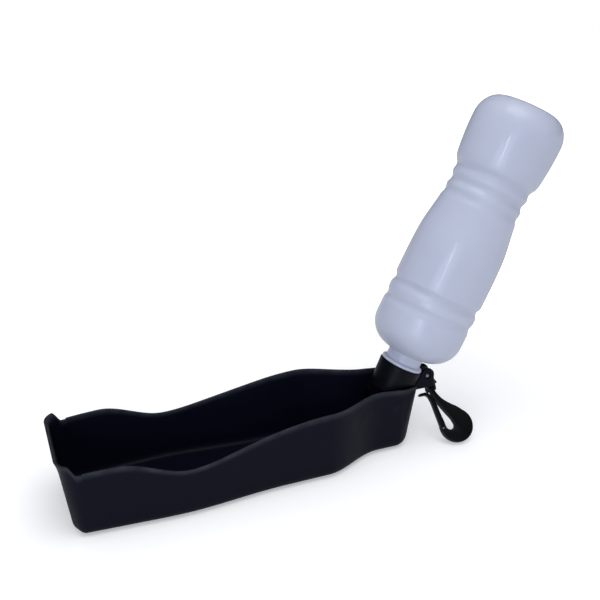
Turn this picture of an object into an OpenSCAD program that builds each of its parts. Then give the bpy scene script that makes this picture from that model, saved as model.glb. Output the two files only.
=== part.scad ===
// Travel water bottle for dogs: a squeeze bottle that folds into its own drinking trough.
// The trough stands on its flat underside, its length along X, the hinge end at +X.
// Lengthwise stations are measured from the rim of the far end and shifted at the end,
// so that the origin is the centre of the flat underside.

/* [Trough] */
// Half width of the rim at the far end
far_w = 36.9; // [36:0.1:42]
// Half width of the rim at its widest, beside the dips
belly_w = 41; // [38:0.1:46]
// Station of the widest place
belly_x = 70; // [60:1:80]
// Half width of the rim along the bottle's barrel
waist_w = 37; // [36.8:0.1:42]
// Station where the waist begins
waist_x = 140; // [130:1:150]
// Station where the sides start to close in on the hinge pocket
neck_x = 174; // [172:1:178]
// Half width of the rim at the hinge pocket
pocket_w = 20.8; // [20.6:0.1:23]
// Station where the pocket's sides are straight again
pocket_x = 221; // [219:1:223]
// Length from the far rim to the nose of the pocket
trough_len = 263.9; // [263.2:0.1:266]
// Wall thickness
wall = 1.8; // [1.4:0.1:2.2]
// Floor thickness
floor_t = 1.8; // [1.4:0.1:2.4]
// Lean of every wall, sideways per unit of height
draft = 0.06; // [0.03:0.01:0.07]
// Further lean of the far end's wall
far_lean = 0.06; // [0.02:0.01:0.06]
// Further lean of the nose
nose_lean = 0.09; // [0.04:0.01:0.14]
// Outer radius of the bottom edge
bottom_r = 7; // [4:0.5:7]
// Inner radius between wall and floor
fillet_r = 4; // [2:0.5:4]
// Radius of the far corners
corner_r = 13; // [13:0.1:16]

/* [Trough rim] */
// Rim height beside the far end
far_h = 47.2; // [44:0.1:50]
// Height of the crest behind the far end
crest_h = 48.8; // [46:0.1:52]
// Station of that crest
crest_x = 28; // [22:1:32]
// Height at the bottom of the dips
dip_h = 36.2; // [32:0.1:42]
// Station of the dips
dip_x = 73; // [68:1:80]
// Rim height along the hinge half
hip_h = 52.6; // [50:0.1:56]
// Rim height at the start of the rounded nose
pocket_h = 49.6; // [48:0.1:52]
// Rim height at the tip of the nose, under the open cap
nose_h = 44.5; // [42:0.1:45]
// Rise of the far end's lip over the side rims
lip_rise = 7.4; // [4:0.1:9]
// Outward curl of that lip
lip_out = 1.6; // [1:0.1:5]
// Height over which the lip curls
lip_curl = 11; // [8:0.5:16]

/* [Hinge] */
// Height of the fold axis
fold_z = 36; // [35.8:0.1:38]
// Distance of the fold axis from the nose of the pocket
fold_back = 24.5; // [24.3:0.1:26]
// Angle of the open bottle above the trough's length
open_angle = 63.2; // [60:0.1:64]
// Radius of the pivot pins
pivot_r = 2.5; // [2:0.1:3]
// Length of each pivot pin
pivot_len = 9.5; // [8:0.5:11]
// Radius of the cap's cross barrel
barrel_r = 8; // [7:0.1:8.2]
// Half width of the seat pedestal
seat_half = 7; // [6:0.5:8]
// Radius of the valve pad
pad_r = 4.6; // [4:0.1:5]
// Thickness of the valve pad
pad_t = 2.4; // [1.6:0.1:3]
// Radius of the water port
port_r = 3; // [2:0.1:3.4]

/* [Cap] */
// Distance of the cap's rim from the fold axis
cap_reach = 28; // [27.5:0.1:28.5]
// Offset of the bottle's axis from the fold axis
cap_offset = 0.6; // [0.4:0.1:0.8]
// Length of the cap
cap_len = 21.7; // [20.7:0.1:21.9]
// Outer radius of the cap at its rim
cap_r = 16.3; // [15.8:0.1:16.4]
// Outer radius of the cap at its closed end
cap_end_r = 15.4; // [15:0.1:15.6]
// Thickness of the cap's closed end
cap_end_t = 3.7; // [3:0.1:4.5]
// Thickness of the gasket ring
gasket_t = 1.5; // [1:0.1:2]
// Inner radius of the gasket ring
gasket_in = 9; // [8.5:0.1:10]

/* [Bottle] */
// Length from the cap's rim to the base
bottle_len = 204.3; // [200:0.1:205]
// Radius of the bottle's barrel
bottle_r = 33.6; // [32.6:0.1:33.8]
// Radius of the waist under the upper ribs
grip_r = 28.7; // [27:0.1:31]
// Radius of the neck inside the cap
neck_r = 13; // [12:0.1:13]
// Wall thickness of the bottle
bottle_wall = 1.3; // [1:0.1:2]
// Radius of the collar that meets the cap
collar_r = 15.6; // [14.5:0.1:16]
// Thickness of the collar
collar_t = 2.2; // [1.2:0.1:2.6]
// Length of the shoulder's curve
shoulder = 20; // [18:0.5:22]
// Depth of the base's push-up
push_up = 5; // [2:0.5:8]
// Length of the rounding at the base
base_round = 18; // [12:0.5:20]
// Depth of the rib grooves
groove = 1.4; // [0.8:0.1:1.8]

/* [Clip] */
// Distance of the clip pin from the nose
lug_out = 8.7; // [8.4:0.1:9.2]
// Height of the clip pin
lug_z = 49.4; // [49:0.1:50]
// Radius of the lug's rounded top
lug_r = 5.8; // [5:0.1:6]
// Height of the lug's lower edge
lug_low = 39.5; // [37:0.5:41]
// Thickness of each lug plate
plate_t = 2; // [1.6:0.1:2.4]
// Gap between the plates
slot_w = 6.6; // [6:0.1:8]
// Radius of the clip pin
clip_pin_r = 1.5; // [1.2:0.1:1.8]
// Radius of the countersink around the pin's ends
sink_r = 2.8; // [2.4:0.1:3.2]
// Radius of the swivel's eye
eye_r = 4.8; // [4:0.1:5]
// Sideways distance from the clip pin to the link pin
link_dx = 6.5; // [6.2:0.1:8]
// Drop from the clip pin to the link pin
link_dz = 14.7; // [14.7:0.1:15.2]
// Radius of the link pin
link_r = 1.2; // [1:0.1:1.4]
// Swing of the hook from the vertical, away from the trough
hook_swing = 13.4; // [10:0.1:16]
// Lean of the hook towards the front
hook_lean = 40.5; // [40.5:0.1:50]
// Thickness of the hook
hook_t = 4.2; // [3.6:0.1:4.2]
// Radius of the hook's lobe
lobe_r = 13; // [12:0.1:13.2]
// Distance of the lobe's centre along the stem
lobe_u = 32.8; // [31:0.1:33]
// Sideways distance of the lobe's centre
lobe_v = 5.5; // [4.5:0.1:6.5]
// Half width of the stem
stem_half = 2.1; // [1.8:0.1:2.5]
// Radius of the round end of the teardrop
tear_r = 3.2; // [2.6:0.1:3.6]

/* [Clearances] */
// Running gap between faces of moving pieces
gap = 0.3; // [0.2:0.05:0.4]
// Radial clearance of a pin in its running bore
run_fit = 0.05; // [0.02:0.01:0.08]
// Radial clearance of a seated pin or disc
seat_fit = 0.02; // [0.01:0.01:0.04]

/* [Hidden] */
$fn = 96;

far_x = -7.3;                          // rim of the far end, at the lip's root
nose_x = far_x + trough_len;         // tip of the pocket's nose
nose_len = pocket_w * 1.03;          // length of the rounded nose
nose_from = nose_x - nose_len;
far_draft = draft + far_lean;
nose_draft = draft + nose_lean;
flat_from = far_x + far_draft * far_h + bottom_r;
flat_to = nose_x - nose_draft * nose_h - bottom_r;
origin_x = (flat_from + flat_to) / 2;

fold_x = nose_x - fold_back;
end_r = wall / 2;                    // rounding of the rim
pocket_in = pocket_w - wall - draft * (hip_h - (fold_z - barrel_r));
barrel_half = pocket_in - 0.7;       // keeps the barrel off the leaning walls
pin_face = pocket_w - draft * (hip_h - fold_z) - 0.1;
floor_inner = cap_len - cap_end_t;   // depth of the cap's bore
bore_r = neck_r + gap;

lug_x = nose_x + lug_out;
fork_half = slot_w / 2 + plate_t;
link_x = lug_x + link_dx;
link_z = lug_z - link_dz;

// A curve through stations of [x, value, slope], level before the first and after the last
function hermite(p, q, t) = let (d = q[0] - p[0])
    p[1] * (2 * pow(t, 3) - 3 * t * t + 1) + q[1] * (3 * t * t - 2 * pow(t, 3))
    + p[2] * d * (pow(t, 3) - 2 * t * t + t) + q[2] * d * (pow(t, 3) - t * t);
function glide(s, x, i = 0) =
    x <= s[0][0] ? s[0][1]
    : i >= len(s) - 1 ? s[len(s) - 1][1]
    : x <= s[i + 1][0] ? hermite(s[i], s[i + 1], (x - s[i][0]) / (s[i + 1][0] - s[i][0]))
    : glide(s, x, i + 1);
function soft(t) = t <= 0 ? 0 : t >= 1 ? 1 : t * t * (3 - 2 * t);

// Half width and height of the rim along the sides
rise_run = 28;                       // a place on the slope behind the dips
rise_h = 4.2;
width_stations = [[far_x, far_w, 0.08], [belly_x, belly_w, 0], [waist_x, waist_w, 0],
                  [neck_x, waist_w, 0], [pocket_x, pocket_w, 0]];
height_stations = [[far_x, far_h, 0.08], [crest_x, crest_h, 0], [dip_x, dip_h, 0],
                   [dip_x + rise_run, dip_h + rise_h, 0.23], [neck_x, hip_h, 0.02],
                   [pocket_x - 16, hip_h, 0], [nose_from + 8, pocket_h, -0.1]];
function side_w(x) = glide(width_stations, x);
function side_h(x) = glide(height_stations, x);
function side_slope(x) = side_w(x + 0.5) - side_w(x - 0.5);

// Half outline of the rim as [x, y, normal x, normal y, height, share of the far end's lip,
// further lean]
lip_drop = 20;                       // part of the corner's arc in which the lip falls away
lip_stop = 75;                       // where it has met the side rim
function far_corner() = [for (k = [0 : 11])
    let (a = 90 * k / 12, e = soft((lip_stop - a) / lip_drop))
    [far_x + corner_r * (1 - cos(a)), side_w(far_x + corner_r) - corner_r * (1 - sin(a)),
     -cos(a), sin(a), side_h(far_x) + lip_rise * e, e, far_lean * soft((90 - a) / 60)]];
function side_line() = [for (k = [0 : 47]) let (
    x = far_x + corner_r + (nose_from - far_x - corner_r) * k / 48,
    m = side_slope(x), q = sqrt(1 + m * m))
    [x, side_w(x), -m / q, 1 / q, side_h(x), 0, 0]];
function nose_arc() = [for (k = [0 : 11]) let (a = 90 * k / 11.6, s = soft((a - 20) / 60),
    nx = sin(a) / nose_len, ny = cos(a) / pocket_w, q = norm([nx, ny]))
    [nose_from + nose_len * sin(a), pocket_w * cos(a), nx / q, ny / q,
     side_h(nose_from + nose_len * sin(a)) * (1 - s) + nose_h * s, 0,
     nose_lean * soft(a / 60)]];
half_rim = concat(far_corner(), side_line(), nose_arc());

// Wall section as [inset, height] for a rim height h, from under the floor over the rim
function section(h) = concat(
    [for (a = [0, 25, 50, 75]) [bottom_r * (1 - sin(a)), bottom_r * (1 - cos(a))]],
    [for (f = [0, 0.35, 0.62, 0.78, 0.88, 0.95]) [0, bottom_r + f * (h - end_r - bottom_r)]],
    [for (a = [0, 45, 90, 135, 180]) [end_r * (1 - cos(a)), h - end_r * (1 - sin(a))]],
    [for (f = [0.95, 0.88, 0.78, 0.62, 0.35, 0])
        [wall, floor_t + fillet_r + f * (h - end_r - floor_t - fillet_r)]],
    [for (a = [25, 50, 75, 90])
        [wall + fillet_r * (1 - cos(a)), floor_t + fillet_r * (1 - sin(a))]]);
function curl(h, z) = lip_out * pow(max(0, 1 - (h - z) / lip_curl), 2);
function loft_point(p, i, side) = let (s = section(p[4])[i],
    d = s[0] + (draft + p[6]) * (p[4] - s[1] - lip_rise * p[5]))
    [p[0] - p[2] * d - p[5] * curl(p[4], s[1]), side * (p[1] - p[3] * d), s[1]];
rings = len(section(far_h));
half_n = len(half_rim);
ring_n = 2 * half_n;
loft_points = [for (i = [0 : rings - 1]) each concat(
    [for (p = half_rim) loft_point(p, i, 1)],
    [for (j = [half_n - 1 : -1 : 0]) loft_point(half_rim[j], i, -1)])];
loft_faces = concat(
    [for (j = [0 : half_n - 2]) [ring_n - 1 - j, ring_n - 2 - j, j + 1, j]],
    [for (i = [0 : rings - 2], j = [0 : ring_n - 1]) let (k = (j + 1) % ring_n,
        a = i * ring_n + j, b = i * ring_n + k) [a, b, a + ring_n]],
    [for (i = [0 : rings - 2], j = [0 : ring_n - 1]) let (k = (j + 1) % ring_n,
        a = i * ring_n + j, b = i * ring_n + k) [b, b + ring_n, a + ring_n]],
    [for (j = [0 : half_n - 2], t = (rings - 1) * ring_n)
        [t + j, t + j + 1, t + ring_n - 2 - j, t + ring_n - 1 - j]]);

// Places a shape drawn from the far rim's stations in the part's frame
module placed() translate([-origin_x, 0, 0]) children();
// A flat shape in the XZ plane, thickened evenly about Y = 0
module upright(t) rotate([90, 0, 0]) translate([0, 0, -t / 2]) linear_extrude(t) children();
// The frame of the fold axis, with Z along the open bottle and X square to it
module fold_frame() translate([fold_x, 0, fold_z]) rotate([0, 90 - open_angle, 0]) children();
// The frame of the cap's rim, with Z along the bottle
module cap_frame() fold_frame() translate([cap_offset, 0, cap_reach]) children();
// A straight round bar along Y
module y_bar(r, from, to) translate([0, from, 0]) rotate([-90, 0, 0]) cylinder(r = r, h = to - from);

// Pedestal inside the nose: its upper face stops the open cap, its left face holds the pad
seat_x = barrel_r + gap;             // seat face, along the fold frame's X
stop_z = cap_reach - cap_len - gap;  // stop face, along the fold frame's Z
tilt = 90 - open_angle;
function fold_point(x, z) = [fold_x + x * cos(tilt) + z * sin(tilt),
                             fold_z - x * sin(tilt) + z * cos(tilt)];
seat_low = fold_point(seat_x, -pad_r - 1.4);
stop_drop = 12.5;                    // from the nose's rim down to the stop face's far edge
function in_nose(inset, z) = [nose_x - inset - nose_draft * (nose_h - z), z];
stop_end = in_nose(wall - 0.1, nose_h - stop_drop)[0] - fold_x - stop_z * sin(tilt);
module pedestal() upright(2 * seat_half) polygon([
    fold_point(seat_x, stop_z), seat_low, [seat_low[0], floor_t / 2],
    in_nose(bottom_r, floor_t / 2), in_nose(wall + 0.35 * fillet_r, floor_t + 0.2 * fillet_r),
    in_nose(wall - 0.1, floor_t + fillet_r), fold_point(stop_end / cos(tilt), stop_z)]);

root_back = 0.2;                     // how far the plates' lower roots pass the wall's middle
// One lug plate's outline, clear of the leaning cap
module lug_outline() {
    translate([lug_x, lug_z]) circle(r = lug_r);
    polygon([in_nose(wall / 2 + root_back, lug_low), [lug_x + lug_r, lug_low],
             [lug_x + lug_r, lug_z], [lug_x - lug_r + 0.3, lug_z + 1],
             [nose_x + 0.6, nose_h + 1.6], in_nose(wall / 2, nose_h - 0.6)]);
}
module fork() difference() {
    upright(2 * fork_half) lug_outline();
    translate([nose_x + 0.3, -slot_w / 2, lug_low - 1])
        cube([2 * lug_out + lug_r, slot_w, 3 * lug_r + lug_z - lug_low]);
}

module trough() color([0.075, 0.08, 0.105]) placed() difference() {
    union() {
        polyhedron(points = loft_points, faces = loft_faces, convexity = 8);
        pedestal();
        fork();
    }
    translate([fold_x, 0, fold_z]) y_bar(pivot_r + seat_fit, -pocket_w - 2, -barrel_half - gap / 2);
    translate([fold_x, 0, fold_z]) y_bar(pivot_r + seat_fit, barrel_half + gap / 2, pocket_w + 2);
    translate([lug_x, 0, lug_z]) y_bar(clip_pin_r + seat_fit, -fork_half - 1, fork_half + 1);
    for (side = [-1, 1]) translate([lug_x, side * fork_half, lug_z])
        y_bar(sink_r, -0.6, 0.6);
    fold_frame() translate([seat_x - 1, 0, 0]) rotate([0, 90, 0])
        cylinder(r = pad_r + seat_fit, h = pad_t + 1);
}

// Bottle: outer radius at a distance s from the cap's rim
shoulder_from = 10;
shoulder_to = shoulder_from + shoulder;
base_from = bottle_len - base_round;
base_r = bottle_r - 0.6;             // radius where the base's rounding starts
base_flat = 18;
bottle_stations = [[shoulder_to, bottle_r - 0.1, 0], [70, bottle_r, 0],
                   [98, bottle_r - 0.7, -0.06], [128, grip_r, -0.08], [150, grip_r + 0.5, 0.2],
                   [158, bottle_r - 2.2, 0.12], [183, base_r, 0]];
groove_list = [[45.3, 0.8], [58.2, 1.2], [129.8, 0.7], [139.3, 1], [149.2, 0.9]];
function dent(s, g) = let (t = abs(s - g[0]) / 5) t >= 1 ? 0 : groove * g[1] * (1 + cos(180 * t)) / 2;
function dents(s, i = 0) = i == len(groove_list) ? 0 : dent(s, groove_list[i]) + dents(s, i + 1);
function skin(s) = glide(bottle_stations, s) - dents(s);
function shoulder_arc(t) = [for (a = [0 : 10 : 80])
    [neck_r + 0.3 - t + (bottle_r - 0.1 - neck_r - 0.3) * sin(a),
     shoulder_to - (shoulder - t * cos(a)) * cos(a)]];
function barrel_line(t) = [for (s = [shoulder_to : 1.5 : base_from]) [skin(s) - t, s]];
function base_arc(t) = [for (a = [10 : 10 : 90])
    [base_flat + (base_r - base_flat) * cos(a) - t * cos(a),
     base_from + (base_round - t) * sin(a)]];
neck_end = -floor_inner + gasket_t + gap;
collar_from = gap;
module bottle_profile() polygon(concat(
    [[neck_r - 1.6, neck_end], [neck_r, neck_end], [neck_r, collar_from],
     [collar_r, collar_from], [collar_r, collar_from + collar_t],
     [neck_r + 0.3, collar_from + collar_t]],
    shoulder_arc(0), barrel_line(0), base_arc(0),
    [[base_flat - 3, bottle_len - 0.8], [0, bottle_len - push_up],
     [0, bottle_len - push_up - bottle_wall], [base_flat - 3, bottle_len - bottle_wall - 0.8]],
    [for (i = [8 : -1 : 0]) base_arc(bottle_wall)[i]],
    let (b = barrel_line(bottle_wall)) [for (i = [len(b) - 1 : -1 : 0]) b[i]],
    [for (i = [8 : -1 : 1]) shoulder_arc(bottle_wall)[i]],
    [[neck_r - 1.6, shoulder_from + 2]]));
module bottle() color([0.8, 0.84, 0.95, 0.8]) placed() cap_frame()
    rotate_extrude() bottle_profile();

module pivot_cap() color([0.06, 0.065, 0.085]) placed() difference() {
    union() {
        cap_frame() rotate_extrude() polygon([[0, -cap_len], [cap_end_r - 1, -cap_len],
            [cap_end_r, -cap_len + 1], [cap_r, -0.6], [cap_r - 0.6, 0], [0, 0]]);
        translate([fold_x, 0, fold_z]) y_bar(barrel_r, -barrel_half, barrel_half);
    }
    cap_frame() translate([0, 0, -floor_inner]) cylinder(r = bore_r, h = floor_inner + 1);
    translate([fold_x, 0, fold_z]) y_bar(pivot_r + run_fit, -barrel_half - 1, pivot_len - pin_face + gap);
    translate([fold_x, 0, fold_z]) y_bar(pivot_r + run_fit, pin_face - pivot_len - gap, barrel_half + 1);
    fold_frame() rotate([0, tilt, 0]) translate([0, 0, -barrel_r - 1])
        cylinder(r = port_r, h = barrel_r + 1 + (cap_reach - floor_inner) / cos(tilt) + 0.5);
}

module cap_gasket() color([0.25, 0.25, 0.27]) placed() cap_frame() translate([0, 0, -floor_inner])
    difference() {
        cylinder(r = bore_r - seat_fit, h = gasket_t);
        translate([0, 0, -1]) cylinder(r = gasket_in, h = gasket_t + 2);
    }

module port_seal() color([0.2, 0.2, 0.22]) placed() fold_frame() translate([seat_x, 0, 0])
    rotate([0, 90, 0]) cylinder(r = pad_r, h = pad_t);

module pivot_pin(side) color([0.06, 0.065, 0.085]) placed() translate([fold_x, 0, fold_z])
    rotate([-90 * side, 0, 0]) translate([0, 0, pin_face - pivot_len])
        cylinder(r = pivot_r, h = pivot_len);
module pivot_pin_front() pivot_pin(-1);
module pivot_pin_rear() pivot_pin(1);

module clip_pin() color([0.6, 0.6, 0.62]) placed() translate([lug_x, 0, lug_z])
    rotate([90, 0, 0]) rotate_extrude() polygon([[0, -fork_half - 0.3],
        [0.8 * clip_pin_r, -fork_half], [clip_pin_r, -fork_half + 0.5],
        [clip_pin_r, fork_half - 0.5], [0.8 * clip_pin_r, fork_half], [0, fork_half + 0.3]]);

// The frame of the hook: X runs down the stem, Y to its outer side, Z through its thickness
module hook_frame() link_frame() rotate([-hook_lean, 0, 0]) rotate([0, 90, 0])
    rotate([90, 0, 0]) children();
// The frame of the link pin, with X along the pin
module link_frame() translate([link_x, 0, link_z]) rotate([0, -hook_swing, 0]) children();

link_eye = 2.4;                      // radius of the eyes on the link pin
cheek_t = 1.3;
eye_half = stem_half;
module clip_swivel() color([0.07, 0.07, 0.085]) placed() difference() {
    union() {
        translate([lug_x, 0, lug_z]) y_bar(eye_r, gap - slot_w / 2, slot_w / 2 - gap);
        upright(slot_w - 2 * gap) polygon([
            [lug_x - 0.5, lug_z - eye_r + 0.8], [lug_x + eye_r - 0.2, lug_z - 1.5],
            [link_x + 4.2, link_z + link_eye + 3.4], [link_x - 3.6, link_z + link_eye + 1.6]]);
        for (side = [-1, 1]) link_frame()
            translate([side * (eye_half + gap + cheek_t / 2) - cheek_t / 2, 0, 0]) {
                rotate([0, 90, 0]) cylinder(r = link_eye, h = cheek_t);
                translate([0, -link_eye, 0]) cube([cheek_t, 2 * link_eye, link_eye + 3.2]);
            }
    }
    translate([lug_x, 0, lug_z]) y_bar(clip_pin_r + run_fit, -slot_w, slot_w);
    link_frame() translate([-6, 0, 0]) rotate([0, 90, 0]) cylinder(r = link_r + seat_fit, h = 12);
}

module link_pin() color([0.07, 0.07, 0.085]) placed() link_frame()
    translate([-eye_half - gap - cheek_t - 0.6, 0, 0]) rotate([0, 90, 0])
        cylinder(r = link_r, h = 2 * (eye_half + gap + cheek_t) + 1.2);

// Hook: outlines in the hook's plane, u along the stem and v to the outer side
tear_u = 31;
tear_v = 0.9;
root_u = 28.6;
root_v = -4.5;
root_r = 2.2;
function ring_arc(u, v, r, from, to, n) =
    [for (k = [0 : n]) let (a = from + (to - from) * k / n) [u + r * cos(a), v + r * sin(a)]];
module hook_blank() {
    polygon(concat([[0, stem_half], [5.8, 2.8], [10.9, 4.7], [15.9, 8.5], [lobe_u - 9, lobe_v + 9.5]],
        [[lobe_u, lobe_v], [lobe_u - 5, -3.8], [13.5, -0.9], [10.7, -0.9], [3.6, -stem_half],
         [0, -stem_half]]));
    translate([lobe_u, lobe_v]) circle(r = lobe_r);
}
module teardrop() {
    translate([tear_u, tear_v]) circle(r = tear_r);
    polygon([[tear_u - 1.4, tear_v + tear_r * 0.9], [23.6, 2.6], [17.6, 0.5], [10.7, -0.7],
             [13.5, -1.2], [21.7, -1.8], [tear_u - 1, tear_v - tear_r * 0.95]]);
}
module gate_room() {
    translate([root_u, root_v]) circle(r = root_r + gap);
    polygon([[root_u, root_v - 5], [root_u, root_v + root_r + gap], [21.7, -1.8], [13.5, -1.2],
             [10.7, -0.9], [3.6, -2.3], [2, -12]]);
}
module clip_hook() color([0.07, 0.07, 0.085]) placed() hook_frame() difference() {
    union() {
        translate([0, 0, -hook_t / 2]) linear_extrude(hook_t) difference() {
            hook_blank();
            teardrop();
            gate_room();
        }
        rotate([90, 0, 0]) translate([0, 0, -eye_half]) cylinder(r = link_eye, h = 2 * eye_half);
    }
    rotate([90, 0, 0]) translate([0, 0, -6]) cylinder(r = link_r + run_fit, h = 12);
}

module clip_gate() color([0.07, 0.07, 0.085]) placed() hook_frame()
    translate([0, 0, -hook_t / 2]) linear_extrude(hook_t) polygon(concat(
        ring_arc(root_u, root_v, root_r, -90, 90, 16),
        [[21.7, -2.1], [13.5, -1.6], [10.6, -1.6], [4, -3], [1.2, -5.2], [0.4, -10.6],
         [1.4, -11.2], [2.5, -10.4], [3.5, -6.2], [5.3, -5.1], [10.3, -4.9], [16.8, -5.5],
         [23.2, -6.1]]));

trough();
bottle();
pivot_cap();
cap_gasket();
port_seal();
pivot_pin_front();
pivot_pin_rear();
clip_pin();
clip_swivel();
link_pin();
clip_hook();
clip_gate();
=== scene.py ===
"""Looks of a dog's travel water bottle that folds into its own drinking trough.

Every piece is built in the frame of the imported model, in metres. Lengthwise stations of
the trough are measured from the rim of its far end and shifted by ORIGIN_X.
"""

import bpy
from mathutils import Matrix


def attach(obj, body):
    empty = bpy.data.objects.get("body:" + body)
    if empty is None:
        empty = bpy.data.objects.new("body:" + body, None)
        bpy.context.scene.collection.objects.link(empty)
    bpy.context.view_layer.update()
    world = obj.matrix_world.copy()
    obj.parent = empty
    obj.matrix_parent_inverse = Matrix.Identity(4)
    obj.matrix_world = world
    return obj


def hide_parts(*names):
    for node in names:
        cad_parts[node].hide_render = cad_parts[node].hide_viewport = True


bl_info = {
    "name": "Folding Dog Bottle",
    "version": (1, 0, 0),
    "blender": (4, 5, 0),
    "location": "View3D > Sidebar > Dog Bottle",
    "description": "Dresses the trough, cap, squeeze bottle and belt clip",
    "category": "Object",
}

import math

import bmesh
import bpy
import numpy as np
from bpy.props import FloatProperty, FloatVectorProperty, IntProperty, PointerProperty
from mathutils import Matrix, Vector

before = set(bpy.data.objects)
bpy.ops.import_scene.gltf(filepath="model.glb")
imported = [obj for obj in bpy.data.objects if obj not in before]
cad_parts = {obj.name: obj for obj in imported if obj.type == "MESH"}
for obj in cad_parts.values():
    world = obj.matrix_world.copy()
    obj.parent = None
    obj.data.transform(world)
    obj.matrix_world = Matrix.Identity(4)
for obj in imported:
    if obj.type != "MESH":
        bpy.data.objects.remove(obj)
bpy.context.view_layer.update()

MM = 0.001

# Trough, in millimetres, as the solid has it
FAR_X, TROUGH_LEN = -7.3, 263.9
NOSE_X = FAR_X + TROUGH_LEN
FAR_W, POCKET_W, CORNER_R = 36.9, 20.8, 13.0
WALL, FLOOR_T, BOTTOM_R, FILLET_R = 1.8, 1.8, 7.0, 4.0
DRAFT, FAR_LEAN, NOSE_LEAN = 0.06, 0.06, 0.09
FAR_H, POCKET_H, NOSE_H, HIP_H = 47.2, 49.6, 44.5, 52.6
LIP_RISE, LIP_OUT, LIP_CURL, LIP_DROP, LIP_STOP = 7.4, 1.6, 11.0, 20, 75
# Degrees of an end over which lean and height change, and those before the nose drops
TURN_SPAN, NOSE_LEVEL = 60, 20
NOSE_LEN = POCKET_W * 1.03
NOSE_FROM = NOSE_X - NOSE_LEN
ORIGIN_X = (FAR_X + (DRAFT + FAR_LEAN) * FAR_H + NOSE_X - (DRAFT + NOSE_LEAN) * NOSE_H) / 2
WIDTHS = [(FAR_X, FAR_W, 0.08), (70, 41, 0), (140, 37, 0), (174, 37, 0), (221, POCKET_W, 0)]
HEIGHTS = [(FAR_X, FAR_H, 0.08), (28, 48.8, 0), (73, 36.2, 0), (101, 40.4, 0.23),
           (174, HIP_H, 0.02), (205, HIP_H, 0), (NOSE_FROM + 8, POCKET_H, -0.1)]

# Hinge and cap
FOLD_X, FOLD_Z, OPEN_ANGLE = NOSE_X - 24.5, 36.0, 63.2
TILT = math.radians(90 - OPEN_ANGLE)
PIVOT_R, BARREL_R, SEAT_HALF, PAD_R, PAD_T, PORT_R = 2.5, 8.0, 7.0, 4.6, 2.4, 3.0
PIVOT_LEN, PIVOT_SUNK, PIVOT_PLAY, BARREL_PLAY, GASKET_T = 9.8, 0.1, 0.06, 0.7, 1.5
BARREL_HALF = POCKET_W - WALL - DRAFT * (HIP_H - (FOLD_Z - BARREL_R)) - BARREL_PLAY
CAP_REACH, CAP_OFFSET, CAP_LEN, CAP_R, CAP_END_R, CAP_END_T = 28.0, 0.6, 21.7, 16.3, 15.4, 3.7
FLOOR_INNER = CAP_LEN - CAP_END_T
BORE_R = 13.3

# Bottle, along its axis from the cap's rim
BOTTLE_LEN, BOTTLE_R, GRIP_R, BASE_R, NECK_R, NECK_WALL = 204.3, 33.6, 28.7, 33.0, 13.0, 1.6
COLLAR_R, COLLAR_T, PUSH_UP, BASE_ROUND, BASE_FLAT = 15.6, 2.2, 5.0, 18.0, 18.0
SHOULDER_FROM, SHOULDER = 10.0, 20.0
SHOULDER_R = BOTTLE_R - 0.1
BARREL = [(SHOULDER_FROM + SHOULDER, SHOULDER_R, 0), (70, BOTTLE_R, 0), (98, 32.9, -0.06),
          (128, GRIP_R, -0.08), (150, 29.2, 0.2), (158, 31.4, 0.12), (183, BASE_R, 0)]
RIBS = [(45.3, 0.8), (58.2, 1.2), (129.8, 0.7), (139.3, 1.0), (149.2, 0.9)]

# Clip
LUG_X, LUG_Z, LUG_R, LUG_LOW = NOSE_X + 8.7, 49.4, 5.8, 39.5
PLATE_T, SLOT_W, PIN_R, PIN_PLAY, SINK_R, SINK_T, EYE_R = 2.0, 6.6, 1.5, 0.03, 2.8, 0.6, 4.8
LINK_X, LINK_Z, LINK_EYE = LUG_X + 6.5, LUG_Z - 14.7, 2.4
HOOK_SWING, HOOK_LEAN, HOOK_T, STEM_HALF, CHEEK_T = 13.4, 40.5, 4.2, 2.1, 1.3
# Circles of the hook, as (along the stem, across it, radius)
LOBE, TEAR, ROOT = (32.8, 5.5, 13.0), (31.0, 0.9, 3.2), (28.6, -4.5, 2.2)
# Play left between pieces that move against each other
GAP = 0.3

# Camera of the photograph
EYE_AT = (-0.03017 - ORIGIN_X * MM, -0.48792, 0.33706)
EYE_AZIMUTH, EYE_ELEVATION, EYE_ROLL, EYE_LENS = -21.78, 22.03, -0.32, 50.0


# ---------------------------------------------------------------- settings


class TroughSettings(bpy.types.PropertyGroup):
    rim_round: FloatProperty(
        name="Rim rounding", description="Radius of the trough's rim",
        default=0.9 * MM, min=0.3 * MM, max=0.9 * MM, unit="LENGTH")
    edge_round: FloatProperty(
        name="Edge rounding", description="Rounding of the clip lugs and the cap's seat",
        default=0.35 * MM, min=0.1 * MM, max=0.8 * MM, unit="LENGTH")
    grain: FloatProperty(
        name="Grain", description="Size of the eroded grain moulded into the plastic",
        default=0.55 * MM, min=0.2 * MM, max=2 * MM, unit="LENGTH")
    colour: FloatVectorProperty(
        name="Colour", description="Colour of the moulded plastic, as sRGB",
        default=(0.043, 0.052, 0.10), min=0, max=1, size=3, subtype="COLOR_GAMMA")


class BottleSettings(bpy.types.PropertyGroup):
    wall: FloatProperty(
        name="Wall", description="Thickness of the blown wall",
        default=1.3 * MM, min=0.6 * MM, max=2 * MM, unit="LENGTH")
    groove: FloatProperty(
        name="Groove depth", description="Depth of the deepest rib groove, per unit of its share",
        default=1.4 * MM, min=0, max=2 * MM, unit="LENGTH")
    groove_half: FloatProperty(
        name="Groove half width", description="Half the width of one groove along the bottle",
        default=5 * MM, min=2 * MM, max=6 * MM, unit="LENGTH")
    segments: IntProperty(
        name="Segments", description="Facets around the bottle", default=160, min=48, max=384)
    colour: FloatVectorProperty(
        name="Colour", description="Colour of the milky plastic, as sRGB",
        default=(0.825, 0.845, 0.925), min=0, max=1, size=3, subtype="COLOR_GAMMA")


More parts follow.
